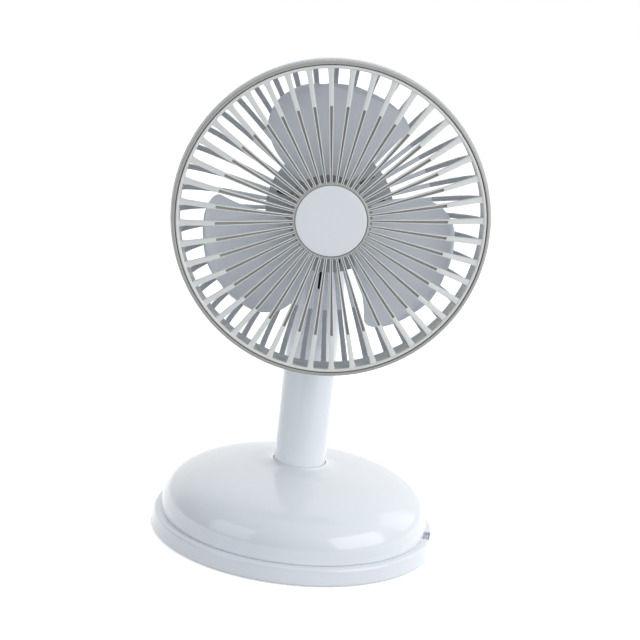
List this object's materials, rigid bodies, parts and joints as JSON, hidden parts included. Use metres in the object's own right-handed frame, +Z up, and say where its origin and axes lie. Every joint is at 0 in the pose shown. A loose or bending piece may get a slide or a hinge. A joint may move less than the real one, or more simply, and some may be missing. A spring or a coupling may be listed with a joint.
{
  "type": "desk fan",
  "caption": "Small desk fan with a weighted dome base, swivelling stem, tilting round guard head and a bladed impeller.",
  "frame": {"origin": "centre of the foot pad's underside, on the stem's swivel axis, at the table", "axes": "+Z up along the stem, -Y the way the fan blows, +X to the right seen from the front"},
  "size_m": [0.1666, 0.1646, 0.2785],
  "materials": {
    "white_shell": "glossy cool white moulded plastic",
    "white_disc": "satin cool white plastic",
    "silver_paint": "satin warm silver paint on plastic",
    "trim_silver": "silver paint on plastic, a little darker",
    "blade_grey": "smooth grey-white moulded plastic",
    "switch_grey": "matt grey-blue, ribbed",
    "dark_plastic": "matt black moulded",
    "bearing_plastic": "natural low-friction plastic",
    "rubber": "matt non-slip",
    "steel": "zinc plated",
    "cell_can": "blue shrink wrap over the can",
    "lead": "insulated wire",
    "board": "green circuit board",
    "winding": "enamelled copper winding on a laminated core",
    "magnet": "ferrite"
  },
  "bodies": {
    "base": {"foot_pad": "rubber", "base_tray": "white_shell", "base_shell": "white_shell", "weight_plate": "steel", "neck_retainer": "dark_plastic", "neck_bush": "bearing_plastic", "battery_cradle_front": "dark_plastic", "battery_cradle_rear": "dark_plastic", "battery_cell_front": "cell_can", "battery_cell_rear": "cell_can", "battery_lead": "lead", "circuit_board": "board", "charge_port": "steel", "switch_body": "dark_plastic", "switch_lead": "lead", "base_screw_1": "steel", "base_screw_2": "steel", "base_screw_3": "steel", "base_screw_4": "steel", "retainer_screw_1": "steel", "retainer_screw_2": "steel", "retainer_screw_3": "steel"},
    "neck": {"neck_tube": "white_shell", "wave_washer": "steel", "motor_lead": "lead", "tilt_bolt": "steel", "tilt_nut": "steel", "friction_washer_left": "bearing_plastic", "friction_washer_right": "bearing_plastic"},
    "head": {"rear_housing": "white_shell", "front_grille": "silver_paint", "trim_ring": "trim_silver", "hub_disc": "white_disc", "pivot_bracket": "white_shell", "motor_base": "dark_plastic", "bearing_rear": "steel", "bearing_front": "steel", "motor_board": "board", "motor_stator": "winding", "bracket_screw_1": "steel", "bracket_screw_2": "steel", "bracket_screw_3": "steel"},
    "impeller": {"impeller": "blade_grey", "motor_shaft": "steel", "rotor_cup": "steel", "rotor_magnet": "magnet"},
    "switch": {"slide_knob": "switch_grey"}
  },
  "joints": [
    {"name": "neck_swivel", "type": "hinge", "parent": "base", "child": "neck", "pos_m": [0, 0, 0.0292], "axis": [0, 0, 1], "range_deg": [-45, 45]},
    {"name": "head_tilt", "type": "hinge", "parent": "neck", "child": "head", "pos_m": [0, 0, 0.1952], "axis": [-1, 0, 0], "range_deg": [-10, 35]},
    {"name": "impeller_spin", "type": "hinge", "parent": "head", "child": "impeller", "pos_m": [0, 0, 0.1952], "axis": [0, -1, 0], "continuous": true},
    {"name": "power_slide", "type": "slide", "parent": "base", "child": "switch", "axis": [0.1908, 0.9816, 0], "range_m": [0, 0.004]}
  ]
}
